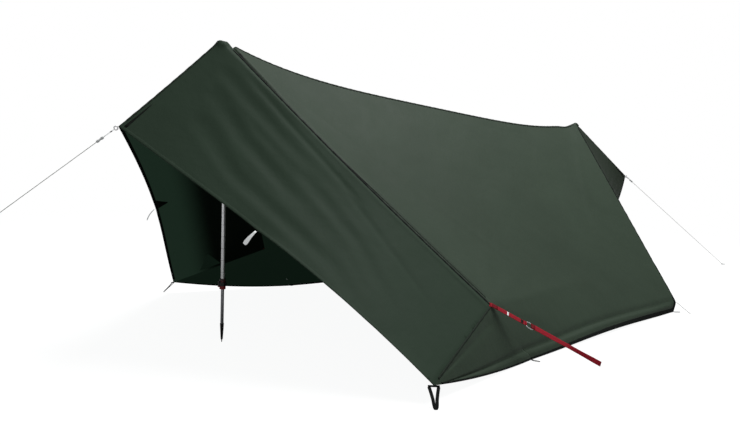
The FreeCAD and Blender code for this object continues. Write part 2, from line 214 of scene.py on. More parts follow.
def cloth_material(name, colour, rough=0.55, glow=None, glow_share=0.0, sheen=0.04, shine=0.12, lit=None,
                   lit_from=None):
    """Coated ripstop: a fine weave, a square grid of heavier threads, and soft creasing."""
    n = Nodes(name)
    uv, place = n.place("UV"), n.place()
    along, across, _ = n.split(uv)
    heavy = n.math("MINIMUM", n.math("PINGPONG", along, RIPSTOP), n.math("PINGPONG", across, RIPSTOP))
    lines = n.add("MapRange", {0: heavy, 2: 0.0005, 3: 1.0, 4: 0.0}).outputs[0]
    tone = n.blend(n.spread(n.noise(place, 2.2, 4.0)), scaled(colour, 0.86), scaled(colour, 1.25))
    tone = n.blend(n.math("MULTIPLY", lines, 0.22), tone, scaled(colour, 1.7))
    tone = n.blend(n.math("MULTIPLY", n.noise(uv, 900.0, 1.0), 0.25), tone, scaled(colour, 0.7))
    soft = n.relief(n.noise(place, 14.0, 5.0), 0.004, 0.5)
    crease = n.relief(n.noise(place, 55.0, 3.0), 0.0008, 0.5, soft)
    # A lit colour is painted light, given off as emission; with lit_from it grows along the cloth from the
    # first distance to the second.
    if lit:
        strength = n.ramp(along, *lit_from) if lit_from else 1.0
        n.shade(Emission_Color=rgb(*lit), Emission_Strength=strength)
    if glow:
        n.share_surface(glow_share, n.add("BsdfTranslucent", {"Color": rgb(*glow)}))
    return n.shade(Base_Color=tone, Roughness=n.spread(n.noise(place, 9.0), rough - 0.07, rough + 0.08),
                   Specular_IOR_Level=shine, Sheen_Weight=sheen, Sheen_Roughness=0.4,
                   Normal=n.relief(lines, 0.0001, 0.5, crease))


def webbing_material(name, colour, stitch):
    """Flat woven tape: ribs along it, a herringbone weave, and rows of stitches near its edges."""
    n = Nodes(name)
    along, across, _ = n.split(n.place("UV"))
    twill = n.math("ADD", along, n.math("PINGPONG", across, TWILL * 2))
    ribs = n.math("MULTIPLY", n.math("PINGPONG", twill, TWILL / 2), 2.0 / TWILL)
    wear = n.noise(n.place(), 30.0, 4.0)
    tone = n.blend(ribs, scaled(colour, 0.72), scaled(colour, 1.15))
    tone = n.blend(n.spread(wear, -0.1, 0.35), tone, scaled(colour, 1.3, 0.002))
    dash = n.math("GREATER_THAN", n.math("PINGPONG", along, 0.0016), 0.0005)
    off_row = n.math("ABSOLUTE", n.math("SUBTRACT", n.math("ABSOLUTE", across), stitch))
    seam = n.math("MULTIPLY", dash, n.math("LESS_THAN", off_row, 0.00055))
    return n.shade(Base_Color=n.blend(seam, tone, scaled(colour, 1.6, 0.02)),
                   Roughness=n.spread(wear, 0.6, 0.8), Specular_IOR_Level=0.12,
                   Normal=n.relief(n.math("ADD", ribs, seam), 0.00025, 0.8))


def reflective_material():
    """Light webbing with a silver thread, lit a little by its own emission: painted light."""
    n = Nodes("reflective_webbing")
    uv = n.place("UV")
    cells = n.math("PINGPONG", n.math("ADD", *n.split(uv)[:2]), 0.0009)
    tone = n.blend(n.math("MULTIPLY", cells, 1100.0), rgb(0.5, 0.52, 0.52), rgb(0.86, 0.88, 0.88))
    # The emission is painted light that brightens the tape.
    return n.shade(Base_Color=tone, Roughness=n.spread(n.noise(uv, 400.0), 0.3, 0.5), Emission_Color=tone,
                   Emission_Strength=0.35, Normal=n.relief(cells, 0.0004, 0.7))


def cord_material(name, colour):
    """Braided sheath: a fine diamond braid round the line, with a tracer thread."""
    n = Nodes(name)
    braid = n.pores(1400.0)
    tracer = n.math("GREATER_THAN", n.math("PINGPONG", n.split(n.place("UV"))[0], 0.02), 0.017)
    tone = n.blend(braid, rgb(*colour), scaled(colour, 0.6))
    return n.shade(Base_Color=n.blend(n.math("MULTIPLY", tracer, 0.12), tone, rgb(0.2, 0.21, 0.2)),
                   Roughness=0.65, Normal=n.relief(braid, 0.0004, 0.6))


def plastic_material(name, colour, rough=0.42):
    n = Nodes(name)
    place = n.place()
    wear = n.noise(place, 40.0, 4.0)
    return n.shade(Base_Color=n.blend(n.spread(wear, -0.2, 0.5), rgb(*colour), scaled(colour, 1.5, 0.012)),
                   Roughness=n.spread(wear, rough - 0.1, rough + 0.14),
                   Normal=n.relief(n.noise(place, 380.0, 2.0), 0.0003, 0.4))


def foam_material(name, colour):
    n = Nodes(name)
    pores = n.pores(420.0)
    return n.shade(Base_Color=n.blend(pores, scaled(colour, 0.6), scaled(colour, 1.25, 0.005)),
                   Roughness=0.88, Normal=n.relief(pores, 0.0006, 0.7))


def tube_material(name, colour, rough=0.3, metallic=0.9):
    """Anodised drawn tube, with setting marks."""
    n = Nodes(name)
    place = n.place()
    drawn = n.add("Mapping", {"Vector": place, "Scale": (900.0, 900.0, 6.0)}).outputs[0]
    streaks = n.noise(drawn, 1.0, 2.0)
    mark = n.math("LESS_THAN", n.math("PINGPONG", n.split(place)[2], 0.025), 0.0006)
    tone = n.blend(n.spread(streaks), scaled(colour, 0.85), rgb(*colour))
    return n.shade(Base_Color=n.blend(n.math("MULTIPLY", mark, 0.7), tone, rgb(0.05, 0.05, 0.055)),
                   Metallic=metallic, Roughness=n.spread(streaks, rough - 0.08, rough + 0.12),
                   Normal=n.relief(streaks, 0.0001, 0.3))


RIPSTOP, TWILL = 0.0035, 0.0022


GREEN = (0.039, 0.06, 0.04)
# The inner side's colour is painted shade: the same cloth, darkened for the shelter's shaded inside.
INSIDE_SHADE = (0.011, 0.02, 0.013)
BLACK = (0.005, 0.006, 0.006)
RED = (0.32, 0.008, 0.02)
M = {
    "canopy": cloth_material("canopy_cloth", GREEN),
    # The awning's cloth is the canopy's green darkened: painted shade on the side that faces away from the
    # key light.
    "awning": cloth_material("awning_cloth_painted_shade", (0.0335, 0.054, 0.0365), shine=0.05),
    # The rear panels' outside is the canopy's green at about half its brightness: painted shade on the side
    # turned away from the light.
    "rear": cloth_material("rear_cloth_painted_shade", [c * 0.52 for c in GREEN], glow=(0.5, 0.47, 0.33), glow_share=0.05,
                           shine=0.04),
    # The inner sides are painted shade, and their lit colours are painted light given off as emission; on the
    # awning that glow grows from the seam towards the free edge.
    "inside": cloth_material("canopy_inside_painted_shade_and_glow", INSIDE_SHADE, rough=0.75, sheen=0.0, lit=(0.0033, 0.0075, 0.0047)),
    "awning_inside": cloth_material("awning_inside_painted_shade_and_glow", [c * 1.2 for c in INSIDE_SHADE], rough=0.7, sheen=0.0,
                                    lit=(0.0085, 0.018, 0.0115), lit_from=(0.26, 0.43)),
    # The rear panels' inner side is painted light: a pale olive colour and an emission standing for light
    # shining through the cloth from behind.
    "rear_inside": cloth_material("rear_inside_painted_glow", (0.05, 0.048, 0.034), rough=0.75, glow=(0.6, 0.56, 0.4),
                                  glow_share=0.2, sheen=0.0, lit=(0.066, 0.064, 0.048)),
    "binding": webbing_material("binding", (0.02, 0.03, 0.021), 0.0045),
    # Near-black tape: real on the hems, and painted shade where the seams use it for the shadows of their
    # valleys, creases and puckers.
    "edging_and_shade": webbing_material("dark_tape_and_painted_shade", (0.004, 0.006, 0.005), 0.0045),
    "patch": cloth_material("reinforcement", (0.006, 0.008, 0.006), rough=0.7, sheen=0.0),
    "black_web": webbing_material("black_webbing", BLACK, 0.0035),
    "red_web": webbing_material("red_webbing", RED, 0.0075),
    # The red webbing at a little over half its brightness is painted shade, for the doubled strap's under
    # layer, its bar and the lowest sleeve.
    "red_web_shaded": webbing_material("red_webbing_painted_shade", [c * 0.55 for c in RED], 0.005),
    "reflective": reflective_material(),
    "line": cord_material("guyline", (0.62, 0.64, 0.62)),
    "dark_line": cord_material("corner_cord", (0.16, 0.17, 0.16)),
    "pale": plastic_material("pale_plastic", (0.5, 0.52, 0.52), 0.35),
    "metal": tube_material("ring_metal", (0.86, 0.86, 0.87), 0.35, metallic=0.35),
    "black": plastic_material("black_plastic", (0.012, 0.012, 0.013)),
    "red": plastic_material("red_plastic", (0.36, 0.012, 0.018), 0.35),
    "grip": foam_material("grip_foam", (0.018, 0.018, 0.019)),
    "foam": foam_material("red_foam", (0.3, 0.012, 0.02)),
    "tube": tube_material("pole_tube", (0.86, 0.87, 0.88), metallic=0.75),
    "dark_tube": tube_material("pole_tube_dark", (0.42, 0.43, 0.45)),
}


# --- mesh building ---
def mesh_object(name, points, faces, keys, uvs=None, kinds=None):
    """A smooth mesh. The kinds are the places of each face's material in the list of keys."""
    mesh = bpy.data.meshes.new(name)
    mesh.from_pydata([tuple(p) for p in points], [], faces)
    if uvs:
        layer = mesh.uv_layers.new(name="cloth")
        layer.data.foreach_set("uv", np.array([uv for face in uvs for uv in face], float).ravel())
    for key in keys:
        mesh.materials.append(M[key])
    if kinds:
        mesh.polygons.foreach_set("material_index", kinds)
    mesh.polygons.foreach_set("use_smooth", [True] * len(mesh.polygons))
    mesh.update()
    return add_object(name, mesh)


def thicken(obj, thickness, material_offset=0):
    """Gives a sheet its thickness, half to each side."""
    solid = obj.modifiers.new("thickness", "SOLIDIFY")
    solid.thickness, solid.offset, solid.material_offset = thickness, 0, material_offset
    final = bpy.data.meshes.new_from_object(obj.evaluated_get(bpy.context.evaluated_depsgraph_get()))
    obj.modifiers.clear()
    obj.data = final


def finish_piece(obj, body, slot, *nodes):
    if nodes:
        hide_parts(*nodes)
    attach(obj, body)
    return obj


# --- the sheet's edges, right side ---
def raised(start, end, t, rise):
    line = mix(start, end, t)
    line[..., 2] += rise
    return line


def past_waist(v, upper, lower):
    """One curve down to the waist and another below it, each from its own share."""
    above = upper(np.minimum(v / WAIST, 1))
    below = lower(np.maximum(0, (v - WAIST) / (1 - WAIST)))
    return np.where((v < WAIST)[..., None], above, below)


def ridge(u):
    return raised(FRONT_APEX, REAR_APEX, u, -RIDGE_SAG * (1 - np.abs(2 * u - 1) ** 4))


def front_seam(t):
    return raised(FRONT_APEX, SIDE_GUY_POINT, t, -SEAM_DIP * np.sin(pi * t))


def fold(t):
    return mix(SIDE_GUY_POINT, FRONT_CORNER, t)


def gusset_hem(t):
    line = mix(SIDE_PEG, FRONT_CORNER, t)
    line[..., 2] = SIDE_PEG[2] + (FRONT_CORNER[2] - SIDE_PEG[2]) * t ** 2
    return line


def main_front_edge(v):
    return past_waist(v, front_seam, lambda t: mix(SIDE_GUY_POINT, SIDE_PEG, t))


def rear_seam(v):
    """Straight to the corner and on to the peg, with the bend a little rounded."""
    waist = mix(REAR_APEX, REAR_CORNER, WAIST)

    def foot(t):
        bent = mix(waist, REAR_CORNER, np.clip(t / REAR_BEND, 0, 1)) \
            + np.clip((t - REAR_BEND) / (1 - REAR_BEND), 0, 1)[..., None] * (REAR_CORNER_PEG - REAR_CORNER)
        smooth = through([waist, REAR_CORNER, REAR_CORNER_PEG], [0, REAR_BEND, 1], t)
        return 0.94 * bent + 0.06 * smooth
    return past_waist(v, lambda t: mix(REAR_APEX, waist, t), foot)


def lifted_hem(start, end):
    return lambda u: raised(start, end, u, HEM_LIFT * np.sin(pi * u) ** 2)


def front_beak(u):
    """The awning's ridge, which leaves the pole's head at its front rim."""
    return raised(FRONT_APEX, FRONT_TIP, u, HEAD_RISE * (1 - u) ** 1.5 * ease(u / 0.08))


def rear_beak(u):
    return mix(REAR_APEX, REAR_TIP, u)


def awning_edge(v):
    return through([FRONT_TIP, AWNING_EDGE_MIDDLE, AWNING_EDGE_LOW, FRONT_CORNER], [0, 0.42, 0.71, 1], v)


def door_edge(v):
    return past_waist(v, lambda t: through([REAR_TIP, DOOR_EDGE_MIDDLE, DOOR_CORNER], [0, 0.4, 1], t),
                      lambda t: mix(DOOR_CORNER, DOOR_PEG, t))


def patch(u, v, top, bottom, front, back, fade=1):
    """A sheet between four edges. The bulges of front and back fade out across it."""
    zero, one = np.zeros_like(u), np.ones_like(u)
    front_bulge = front(v) - mix(top(zero), bottom(zero), v)
    back_bulge = back(v) - mix(top(one), bottom(one), v)
    near, far = ((1 - u) ** fade)[..., None], (u ** fade)[..., None]
    return mix(top(u), bottom(u), v) + front_bulge * near + back_bulge * far


def main_patch(u, v):
    return patch(u, v, ridge, lifted_hem(SIDE_PEG, REAR_CORNER_PEG), main_front_edge, rear_seam, 3)


def awning_patch(u, v):
    return patch(u, v, front_beak, fold, front_seam, awning_edge)


def rear_patch(u, v):
    return patch(u, v, rear_beak, lifted_hem(REAR_CORNER_PEG, DOOR_PEG), rear_seam, door_edge, 2)


def gusset_patch(u, v):
    return mix(fold(u), gusset_hem(u), v)


# --- creases and folds, as heights above the smooth sheet ---
def inner_fade(u, v, sides=("front", "back", "top", "bottom")):
    """0 at the named sides, 1 well inside the panel."""
    fade = np.ones_like(u)
    for side, inward in (("front", u), ("back", 1 - u), ("top", v), ("bottom", 1 - v)):
        if side in sides:
            fade = fade * ease(inward / 0.06)
    return fade


def unevenness(points, size, seed):
    """Soft dents over the cloth, the same each time."""
    values = [noise.noise(Vector(p)) for p in points.reshape(-1, 3) / size + seed]
    return np.array(values).reshape(points.shape[:2])


def streaks(u, v, table):
    """Long creases, each with its start and end as (u, v), its width and its height."""
    total = np.zeros_like(u)
    for (u0, v0), (u1, v1), width, height in table:
        t = (v - v0) / (v1 - v0)
        off = u - (u0 + (u1 - u0) * t)
        total += height * bump(off, width) * (ease(t / 0.25) * ease((1 - t) / 0.25))
    return total


def valley(u, v, course, depth, width):
    """A soft valley with raised shoulders along a course of (u, v) points, deepest past its upper end."""
    place = np.stack([u, v], -1) * AWNING_SIZE
    spots = np.array(course) * AWNING_SIZE
    total = travelled(spots)[-1]
    nearest, travel, done = np.full(u.shape, 9.0), np.zeros_like(u), 0.0
    for a, b in zip(spots, spots[1:]):
        step = b - a
        reach = length(step)
        share = np.clip(((place - a) @ step) / reach ** 2, 0, 1)
        off = length(place - (a + share[..., None] * step))
        travel = np.where(off < nearest, (done + share * reach) / total, travel)
        nearest = np.minimum(nearest, off)
        done += reach
    strength = (0.55 + 0.45 * ease(travel / 0.2)) * (1 - 0.75 * ease((travel - 0.45) / 0.55))
    shoulders = 0.55 * bump(nearest - 1.75 * width, width * 0.8)
    return 0.85 * depth * strength * (shoulders - bump(nearest, width))


AWNING_SIZE = np.array([0.55, 1.5])
AWNING_VALLEYS = (
    (((0.21, 0.07), (0.25, 0.22), (0.3, 0.45)), 0.003, 0.024),
    (((0.39, 0.1), (0.5, 0.23), (0.625, 0.54)), 0.0038, 0.027),
    (((0.62, 0.12), (0.77, 0.28), (0.835, 0.63), (0.97, 0.79)), 0.0034, 0.027),
    (((0.38, 0.415), (0.52, 0.64), (0.72, 0.8), (0.95, 0.95)), 0.0028, 0.026),
)
AWNING_STREAKS = (((0.1, 0.1), (0.2, 0.62), 0.022, 0.003), ((0.16, 0.45), (0.5, 0.93), 0.03, 0.003))
MAIN_STREAKS = (((0.02, 0.05), (0.3, 0.75), 0.012, 0.002), ((0.98, 0.06), (0.72, 0.8), 0.014, 0.002))
REAR_STREAKS = (((0.9, 0.03), (0.3, 0.95), 0.03, 0.004), ((0.96, 0.03), (0.6, 0.95), 0.025, 0.003),
                ((0.8, 0.03), (0.12, 0.7), 0.03, 0.003))
# each as its angle, its length as a share of the panel and its height in metres
GUY_POINT_PULLS = ((0.25, 0.45, 0.004), (0.55, 0.36, 0.0035), (0.95, 0.34, 0.003), (-0.3, 0.3, 0.003))


def awning_creases(u, v, strength):
    """Long soft valleys from the apex towards the front corner."""
    total = sum(valley(u, v, *each) for each in AWNING_VALLEYS) - streaks(u, v, AWNING_STREAKS)
    pull = bump(v - 0.42, 0.04) * ease((u - 0.78) / 0.22) * 0.004
    at_seam = 0.003 * bump(u - 0.05, 0.018) * ease(v / 0.3) * ease((1 - v) / 0.03)
    return (total * strength - pull) * inner_fade(u, v, ("front", "top", "bottom")) + at_seam


def main_creases(u, v):
    """Pulls that fan out from the side guy point, grooves beside the seam and the line of the hem."""
    total = streaks(u, v, MAIN_STREAKS)
    du, dv = u, (WAIST - v) * 0.8
    for angle, length, height in GUY_POINT_PULLS:
        along = du * cos(angle) + dv * sin(angle)
        off = -du * sin(angle) + dv * cos(angle)
        total += height * bump(off, 0.012 + 0.05 * along) * (ease(along / 0.05) * (1 - ease(along / length)))
    total *= inner_fade(u, v, ("front", "back", "top"))
    above_waist = WAIST + 0.01 - v
    deep = 0.011 * (1 - ease(v / 0.22)) + 0.0045
    groove = deep * bump(u - 0.0055, 0.0042) * ease(u / 0.002) * ease(above_waist / 0.03) * ease(v / 0.015)
    second = 0.0045 * bump(u - 0.017, 0.0035) * ease((v - 0.33) / 0.15) * ease(above_waist / 0.08)
    rise = 0.02 + 0.022 * u
    hem = -0.009 * bump(v - 0.985 + rise, 0.01) + 0.005 * bump(v - 0.985 + rise * 0.45, 0.011)
    return total - groove - second + hem * ease((1 - u) / 0.05)


def rear_creases(u, v):
    return streaks(u, v, REAR_STREAKS) * inner_fade(u, v, ("front", "top"))


def gusset_creases(u, v):
    hem = -0.009 * bump(v - 0.825, 0.05) + 0.005 * bump(v - 0.88, 0.055)
    crease = -0.004 * bump(v - 0.16, 0.07) * ease(u / 0.2)
    return hem * ease((1 - u) / 0.35) + crease * ease((1 - u) / 0.3)


def drape(points):
    """The cloth rounds over the flat head of each pole, which reaches out towards the guyline."""
    for apex, ahead, size in ((FRONT_APEX, -0.018, vec(0.018, 0.022, 0.012)),
                              (REAR_APEX, 0.008, vec(0.016, 0.018, 0.011))):
        centre = apex + vec(0, ahead, -size[2])
        distance = (np.abs((points - centre) / size) ** 3).sum(-1, keepdims=True) ** (1 / 3)
        beyond = distance - 1
        rounded = 1 + (beyond + np.sqrt(beyond ** 2 + 0.12)) / 2
        points = centre + (points - centre) / np.maximum(distance, 1e-6) * rounded
    return points


def notch(points):
    """The ridge starts a little below and behind each pole's head."""
    for apex, behind, depth in ((FRONT_APEX, 0.02, 0.024), (REAR_APEX, -0.1, 0.01)):
        back = points[..., 1] - (apex[1] + behind)
        share = bump(back, abs(behind) * 0.6) * bump(points[..., 0], 0.06)
        points = points - share[..., None] * vec(0, 0, depth)
    return points


class Panel:
    """A sampled, creased panel. Its grid is indexed by column (u) and row (v)."""

    def __init__(self, side, at, columns, rows, creases, dents):
        u, v = np.meshgrid(columns, rows, indexing="ij")
        centre = (len(columns) // 2, len(rows) // 2)
        smooth = at(u, v)
        normal = self.normals(smooth)
        if normal[centre][0] < 0:
            normal = -normal
        rough = unevenness(smooth, 0.16, dents) * 0.0022 + unevenness(smooth, 0.05, dents + 9) * 0.0005
        height = creases(u, v) + rough * inner_fade(u, v)
        points = drape(smooth + normal * height[..., None])
        if at is main_patch:
            points = notch(points)
        points[..., 2] = np.maximum(points[..., 2], CLOTH)
        outward = self.normals(points)
        flip = np.sign((outward * normal).sum(-1, keepdims=True))
        outward = outward * np.where(flip == 0, 1, flip)
        self.points, self.normal = points * SIDES[side], outward * SIDES[side]
        self.winding = self.normals(self.points)[centre] @ self.normal[centre]
        self.columns, self.rows = columns, rows
        self.reach, self.travel = [], []
        for axis, shares in enumerate((columns, rows)):
            self.reach.append(length(np.gradient(smooth, shares, axis=axis)))
            steps = length(np.diff(smooth, axis=axis)).mean(axis=1 - axis)
            self.travel.append(np.concatenate([[0], np.cumsum(steps)]))

    @staticmethod
    def normals(points):
        raw = np.cross(np.gradient(points, axis=0), np.gradient(points, axis=1))
        return raw / np.maximum(length(raw), 1e-12)[..., None]

    def cell(self, u, v):
        """The place of shares u and v in the grid, counted in cells."""
        return [np.interp(share, shares, np.arange(len(shares)))
                for share, shares in ((u, self.columns), (v, self.rows))]

    def at(self, u, v, lift=0.0, across=0.0, down=0.0):
        """A point at shares u and v, moved by metres along u, along v and off the cloth."""
        i, j = self.cell(u, v)
        if across or down:
            spot = (int(round(i)), int(round(j)))
            i, j = self.cell(*[np.clip(share + move / max(reach[spot], 0.02), 0, 1)
                               for share, move, reach in zip((u, v), (across, down), self.reach)])
        i0, j0 = int(min(i, len(self.columns) - 2)), int(min(j, len(self.rows) - 2))
        a, b = i - i0, j - j0
        total = 0
        for di, wi in ((0, 1 - a), (1, a)):
            for dj, wj in ((0, 1 - b), (1, b)):
                spot = (i0 + di, j0 + dj)
                total = total + (self.points[spot] + self.normal[spot] * lift) * (wi * wj)
        return total

    def edge(self, name, until=1.0):
        """A function of the share along an edge, metres in from it and metres off the cloth."""
        end = float(name in ("bottom", "back"))

        def at(share, inward, lift):
            move = -inward if end else inward
            if name in ("top", "bottom"):
                return self.at(share, end, lift, down=move)
            return self.at(end, share * until, lift, across=move)
        return at


def spans(*stops):
    """Samples from stop to stop, each stop given as (place, steps before it)."""
    values = [stops[0][0]]
    for (start, _), (end, steps) in zip(stops, stops[1:]):
        values += list(np.linspace(start, end, steps + 1)[1:])
    return np.array(values)


UPPER = spans((0, 0), (0.06, 10), (WAIST, 66))
LOWER = spans((WAIST, 0), (1, 26))[1:]
ROWS = np.concatenate([UPPER, LOWER])
MAIN_COLUMNS = spans((0, 0), (0.03, 16), (0.97, 132), (1, 10))
WIDE_COLUMNS = spans((0, 0), (0.08, 8), (0.95, 50), (1, 5))


def make_panels(side):
    seed, strength = (0, 1.0) if side == "right" else (50, 0.3)
    below_fold = np.concatenate([[0.0], (LOWER - WAIST) / (1 - WAIST)])
    return {
        "main": Panel(side, main_patch, MAIN_COLUMNS, ROWS, main_creases, 3.1 + seed),
        "awning": Panel(side, awning_patch, WIDE_COLUMNS, UPPER / WAIST,
                        lambda u, v: awning_creases(u, v, strength), 17.3 + seed),
        "rear": Panel(side, rear_patch, WIDE_COLUMNS, ROWS, rear_creases, 29.9 + seed),
        "gusset": Panel(side, gusset_patch, WIDE_COLUMNS, below_fold, gusset_creases, 41.7),
    }


PANELS = {side: make_panels(side) for side in SIDES}


def canopy():
    """The whole sheet as one mesh: its panels share the vertices of their seams."""
    points, faces, uvs, kinds, found = [], [], [], [], {}
    for panels in PANELS.values():
        for name, panel in panels.items():
            index = np.zeros(panel.points.shape[:2], int)
            for spot in np.ndindex(index.shape):
                key = tuple(np.round(panel.points[spot] * 5000).astype(int))
                if key not in found:
                    found[key] = len(points)
                    points.append(panel.points[spot])
                index[spot] = found[key]
            for i, j in np.ndindex(index.shape[0] - 1, index.shape[1] - 1):
                corners = [(i, j), (i + 1, j), (i + 1, j + 1), (i, j + 1)]
                if panel.winding < 0:
                    corners.reverse()
                face = {}
                for a, b in corners:
                    face.setdefault(int(index[a, b]), (panel.travel[0][a], panel.travel[1][b]))
                if len(face) > 2:
                    faces.append(list(face))
                    uvs.append(list(face.values()))
                    kinds.append({"rear": 1, "awning": 2}.get(name, 0))
    # The rear and awning panels wear darkened copies of the cloth, painted shade; the inner side's materials
    # carry painted shade and painted glow.
    outside = ["canopy", "rear", "awning"]
    inside = ["inside", "rear_inside", "awning_inside"]
    obj = mesh_object("canopy", points, faces, outside + inside, uvs, kinds)
    area = sum(p.area for p in obj.data.polygons)
    thicken(obj, CLOTH, len(outside))
    finish_piece(obj, "canopy", "shell_fabric", *[
        f"{name}_{side}" for name in ("main_panel", "awning_panel", "rear_panel", "corner_gusset")
        for side in SIDES])
    return obj, area


CANOPY, CANOPY_AREA = canopy()


# --- building closed strips, tubes and turned shapes ---
class Build:
    """Collects grids of points into one mesh. UVs are metres along and across each strip."""

    def __init__(self):
        self.points, self.faces, self.uvs, self.kinds = [], [], [], []

    def grid(self, rows, ring=False, caps=False, width=None, kind=0):
        """Rows of points along a strip; each row is a section, closed into a ring if asked.

        The kind is a material's place in the list, or a list of them for the faces round the section."""
        rows = np.asarray(rows, float)
        count, size = rows.shape[:2]
        kinds = [kind] * size if isinstance(kind, int) else kind
        first = len(self.points)
        self.points += [tuple(p) for row in rows for p in row]
        along = travelled(rows.mean(axis=1))
        across = travelled(rows[count // 2])
        across = across - across[-1] / 2 if width is None else width
        for i in range(count - 1):
            for j in range(size if ring else size - 1):
                k = (j + 1) % size
                corners = [(i, j), (i + 1, j), (i + 1, k), (i, k)]
                self.faces.append([first + a * size + b for a, b in corners])
                self.uvs.append([(along[a], across[b]) for a, b in corners])
                self.kinds.append(kinds[j])
        if caps:
            for i, order in ((0, 1), (count - 1, -1)):
                ends = list(range(size))[::order]
                self.faces.append([first + i * size + b for b in ends])
                self.uvs.append([(along[i], across[b]) for b in ends])
                self.kinds.append(kinds[0])

    def make(self, name, keys, slot, nodes, body="canopy", thickness=0):
        obj = mesh_object(name, self.points, self.faces, keys, self.uvs, self.kinds)
        if thickness:
            thicken(obj, thickness)
        return finish_piece(obj, body, slot, *nodes)


def tape_section(width, thick):
    """A flat oval section with rounded edges, as (across, off) pairs."""
    half, bulge = width / 2, thick / 2
    right = [(half - bulge, -bulge), (half - bulge * 0.3, -bulge * 0.7), (half, 0),
             (half - bulge * 0.3, bulge * 0.7), (half - bulge, bulge)]
    first_half = right + [(half * k, bulge) for k in (0.5, 0.0, -0.5)]
    return first_half + [(-x, -z) for x, z in first_half]


def headings(path, closed):
    around = np.roll(path, -1, axis=0) - np.roll(path, 1, axis=0)
    return unit(around if closed else np.gradient(path, axis=0))


def tape(build, path, across, width, thick, kind=0, closed=False):
    """Webbing along a path. Width and across may differ from point to point."""
    path = np.asarray(path, float)
    across = np.broadcast_to(across, path.shape)
    width = np.broadcast_to(width, len(path))
    ahead = headings(path, closed)
    side = unit(across - ahead * (across * ahead).sum(-1, keepdims=True))
    rows = [[p + s * x + o * z for x, z in tape_section(w, thick)]
            for p, s, o, w in zip(path, side, np.cross(ahead, side), width)]
    if closed:
        rows.append(rows[0])
    flat = [x for x, _ in tape_section(width[len(path) // 2], thick)]
    build.grid(rows, ring=True, caps=not closed, width=flat, kind=kind)


def wire(build, path, radius, sides=10, closed=False, kind=0):
    """A round tube along a path of points."""
    path = np.asarray(path, float)
    ahead = headings(path, closed)
    side = np.cross(ahead[0], [0.31, 0.52, 0.8])
    rows = []
    for p, t in zip(path, ahead):
        side = unit(side - t * side.dot(t))
        other = np.cross(t, side)
        rows.append([p + (side * c + other * s) * radius for c, s in circle(sides)])
    if closed:
        rows.append(rows[0])
    build.grid(rows, ring=True, caps=not closed, kind=kind)


def turned(build, profile, centre, axis=(0.0, 0.0, 1.0), kind=0):
    """A shape of revolution from (radius, distance along the axis) pairs."""
    axis = np.array(axis)
    side = unit(np.cross(axis, [0.9, 0.1, 0.3]))
    other = np.cross(axis, side)
    rows = [[centre + axis * height + (side * c + other * s) * radius for c, s in circle(40)]
            for radius, height in profile]
    build.grid(rows, ring=True, kind=kind)


# --- seams, hems and patches ---
SEAM_LIFT = 0.0011
SEAM_HALF = 0.0075


def two_sided_seam(build, first, second, half, count, start, end, kind=0, flare=0.0):
    """A raised felled seam where an edge of one panel meets an edge of another."""
    rows = []
    for k, s in enumerate(np.linspace(start, end, count)):
        pucker = 0.0004 * sin(k * 1.3) + 0.0003 * sin(k * 0.71)
        lift = SEAM_LIFT + pucker
        near, far = [[edge(s, wide, 0.0002), edge(s, wide * 0.85, lift), edge(s, wide * 0.4, lift * 1.15)]
                     for edge, wide in ((first, half), (second, half + flare * bump(s, 0.075)))]
        top = (first(s, 0, lift * 1.25) + second(s, 0, lift * 1.25)) / 2
        rows.append([*near, top, *reversed(far)])
    build.grid(rows, kind=kind)


def seams():
    build = Build()
    for name, half, count, start, end in (("main", 0.009, 420, 0.016, 0.99),
                                          ("awning", 0.006, 60, 0.08, 0.93),
                                          ("rear", 0.006, 70, 0.08, 0.95)):
        left, right = [PANELS[side][name].edge("top") for side in ("left", "right")]
        two_sided_seam(build, left, right, half, count, start, end)
    for panels in PANELS.values():
        main, awning, rear, gusset = panels.values()
        front, top = main.edge("front", WAIST), main.edge("top")
        # The front seam is drawn in the near-black tape, widening towards the apex: painted shadow of its
        # valley and fold.
        two_sided_seam(build, awning.edge("front"), front, SEAM_HALF, 160, 0.03, 0.995, 1, 0.03)
        # The second dark line beside the seam's lower part is a painted shadow of a crease.
        second = []
        for k, s in enumerate(np.linspace(0.42, 0.97, 70)):
            off, stitch = 0.014 + 0.008 * ease((s - 0.42) / 0.2), 0.0003 * (k % 2)
            second.append([front(s, off + w, 0.0009 + z) for w, z in
                           ((-0.0022, -0.0006), (-0.0012, stitch), (0.0012, stitch), (0.0022, -0.0006))])
        build.grid(second, kind=1)
        # Dark dashes along the ridge: painted shadows of its puckers.
        for s in np.arange(0.03, 0.98, 0.0082):
            build.grid([[top(t, d, 0.0012) for d in (0.0085, 0.0115)] for t in (s, s + 0.0016, s + 0.0034)],
                       kind=1)
        two_sided_seam(build, main.edge("back"), rear.edge("front"), 0.005, 120, 0.03, 0.985, 1)
        two_sided_seam(build, awning.edge("bottom"), gusset.edge("top"), 0.004, 60, 0.02, 0.93)
    return build.make("seams", ["binding", "edging_and_shade"], "binding", ["seam_tapes"], thickness=0.0006)


# shares of a binding's width and of its thickness, from the outer side round the edge to the inner side
BINDING_SECTION = ((1, 0.55), (0.92, 1), (0.5, 1.1), (0.1, 1), (0, 0), (0.1, -1), (0.5, -1.1), (0.92, -1),
                   (1, -0.55))
# The awning hem's outer faces take the awning cloth's painted shade; its edge and inner faces take the
# near-black tape.
OUT_PLAIN = [0, 0, 0, 1, 1, 1, 1, 1, 1]


def edge_binding(build, edge, count, start, end, first_width, last_width, thick, kind):
    """A folded tape round a free edge of a panel."""
    rows = np.array([[edge(s, width * across, thick * off) for across, off in BINDING_SECTION] for s, width in
                     zip(np.linspace(start, end, count), np.linspace(first_width, last_width, count))])
    rows[..., 2] = np.maximum(rows[..., 2], 0.0004)
    build.grid(rows, ring=True, caps=True, kind=kind)


